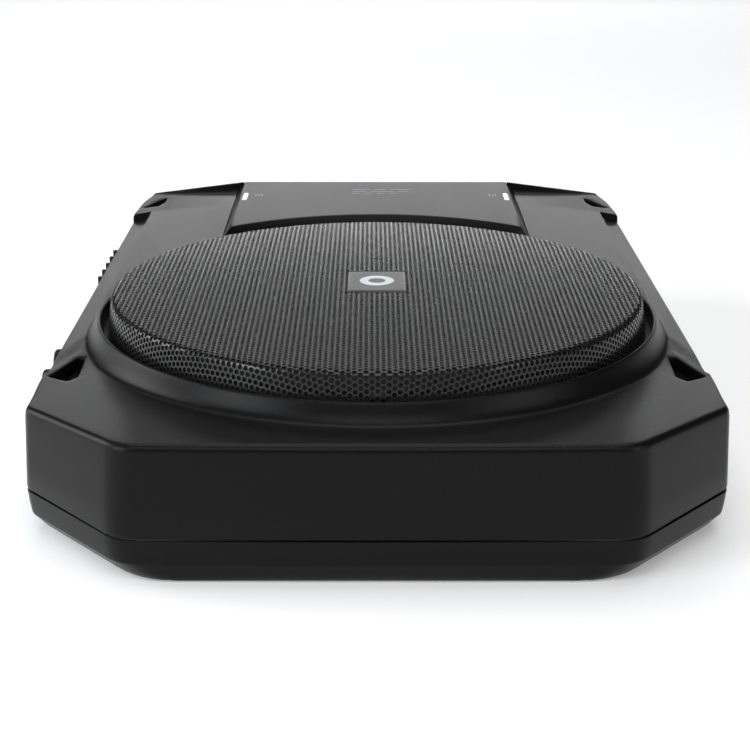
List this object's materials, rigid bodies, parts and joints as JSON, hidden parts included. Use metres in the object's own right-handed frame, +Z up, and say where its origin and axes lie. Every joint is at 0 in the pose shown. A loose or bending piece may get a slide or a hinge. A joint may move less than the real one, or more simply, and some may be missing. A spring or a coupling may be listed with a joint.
{
  "type": "powered car subwoofer",
  "caption": "Slim powered under-seat car subwoofer: chamfered two-part case, round perforated grille, raised amplifier cover, side control panel and ear pockets for brackets.",
  "frame": {"origin": "middle of the flat underside, which stands on the floor", "axes": "+Z up; +Y from the woofer end to the amplifier end, the case's long way; +X to the right seen from the woofer end, so the connection panel is on -X"},
  "size_m": [0.252, 0.3445, 0.0683],
  "materials": {
    "case_black": "fine-textured matte black coat",
    "grille_black": "satin black coat on perforated steel",
    "plastic_black": "moulded, fine grain",
    "emblem_silver": "bright",
    "lens_white": "milky, clear coat",
    "basket_steel": "satin black coat",
    "screw_steel": "black zinc",
    "rubber_black": "matte",
    "cone_paper": "pressed fibre",
    "copper": "enamelled winding",
    "spider_cloth": "resin-stiffened weave",
    "zinc_steel": "zinc plated",
    "ferrite": "sintered, matte",
    "board_green": "solder mask",
    "heat_sink_aluminium": "extruded",
    "gilt_brass": "plated, bright",
    "nylon_white": "moulded nylon",
    "plastic_red": "moulded",
    "fuse_yellow": "translucent moulding"
  },
  "bodies": {
    "housing": {"upper_shell": "case_black", "lower_shell": "case_black", "amp_cover": "case_black", "connector_panel": "case_black", "grille": "grille_black", "badge_plate": "plastic_black", "terminal_block": "plastic_black", "fuse_holder": "plastic_black", "remote_jack": "plastic_black", "woofer_terminals": "plastic_black", "power_transformer": "plastic_black", "speaker_lead_black": "plastic_black", "capacitor_1": "plastic_black", "capacitor_2": "plastic_black", "badge_emblem": "emblem_silver", "led_lens_left": "lens_white", "led_lens_right": "lens_white", "woofer_basket": "basket_steel", "woofer_screw_1": "screw_steel", "woofer_screw_2": "screw_steel", "woofer_screw_3": "screw_steel", "woofer_screw_4": "screw_steel", "woofer_screw_5": "screw_steel", "woofer_screw_6": "screw_steel", "case_screw_1": "screw_steel", "case_screw_2": "screw_steel", "case_screw_3": "screw_steel", "case_screw_4": "screw_steel", "case_screw_5": "screw_steel", "case_screw_6": "screw_steel", "basket_gasket": "rubber_black", "surround": "rubber_black", "shell_gasket": "rubber_black", "choke": "copper", "spider": "spider_cloth", "top_plate": "zinc_steel", "back_plate": "zinc_steel", "gain_pot": "zinc_steel", "crossover_pot": "zinc_steel", "input_switch_body": "zinc_steel", "phase_switch_body": "zinc_steel", "magnet": "ferrite", "amp_board": "board_green", "heat_sink": "heat_sink_aluminium", "terminal_screw_1": "gilt_brass", "terminal_screw_2": "gilt_brass", "terminal_screw_3": "gilt_brass", "terminal_screw_4": "gilt_brass", "speaker_socket": "nylon_white", "line_in_left": "nylon_white", "line_in_right": "plastic_red", "speaker_lead_red": "plastic_red", "fuse": "fuse_yellow"},
    "cone_assembly": {"cone": "cone_paper", "dust_cap": "cone_paper", "voice_coil": "copper"},
    "gain_knob": {"gain_knob": "plastic_black"},
    "crossover_knob": {"crossover_knob": "plastic_black"},
    "input_switch": {"input_switch": "plastic_black"},
    "phase_switch": {"phase_switch": "plastic_black"}
  },
  "joints": [
    {"name": "cone_travel", "type": "slide", "parent": "housing", "child": "cone_assembly", "axis": [0, 0, 1], "range_m": [-0.005, 0.005], "stiffness_N_per_m": 3000, "deforming": ["surround", "spider"]},
    {"name": "gain_turn", "type": "hinge", "parent": "housing", "child": "gain_knob", "pos_m": [-0.123, -0.0535, 0.038], "axis": [-1, 0, 0], "range_deg": [-150, 150]},
    {"name": "crossover_turn", "type": "hinge", "parent": "housing", "child": "crossover_knob", "pos_m": [-0.123, -0.0775, 0.038], "axis": [-1, 0, 0], "range_deg": [-150, 150]},
    {"name": "input_level_slide", "type": "slide", "parent": "housing", "child": "input_switch", "axis": [0, 1, 0], "range_m": [0, 0.004]},
    {"name": "phase_slide", "type": "slide", "parent": "housing", "child": "phase_switch", "axis": [0, 1, 0], "range_m": [0, 0.004]}
  ]
}
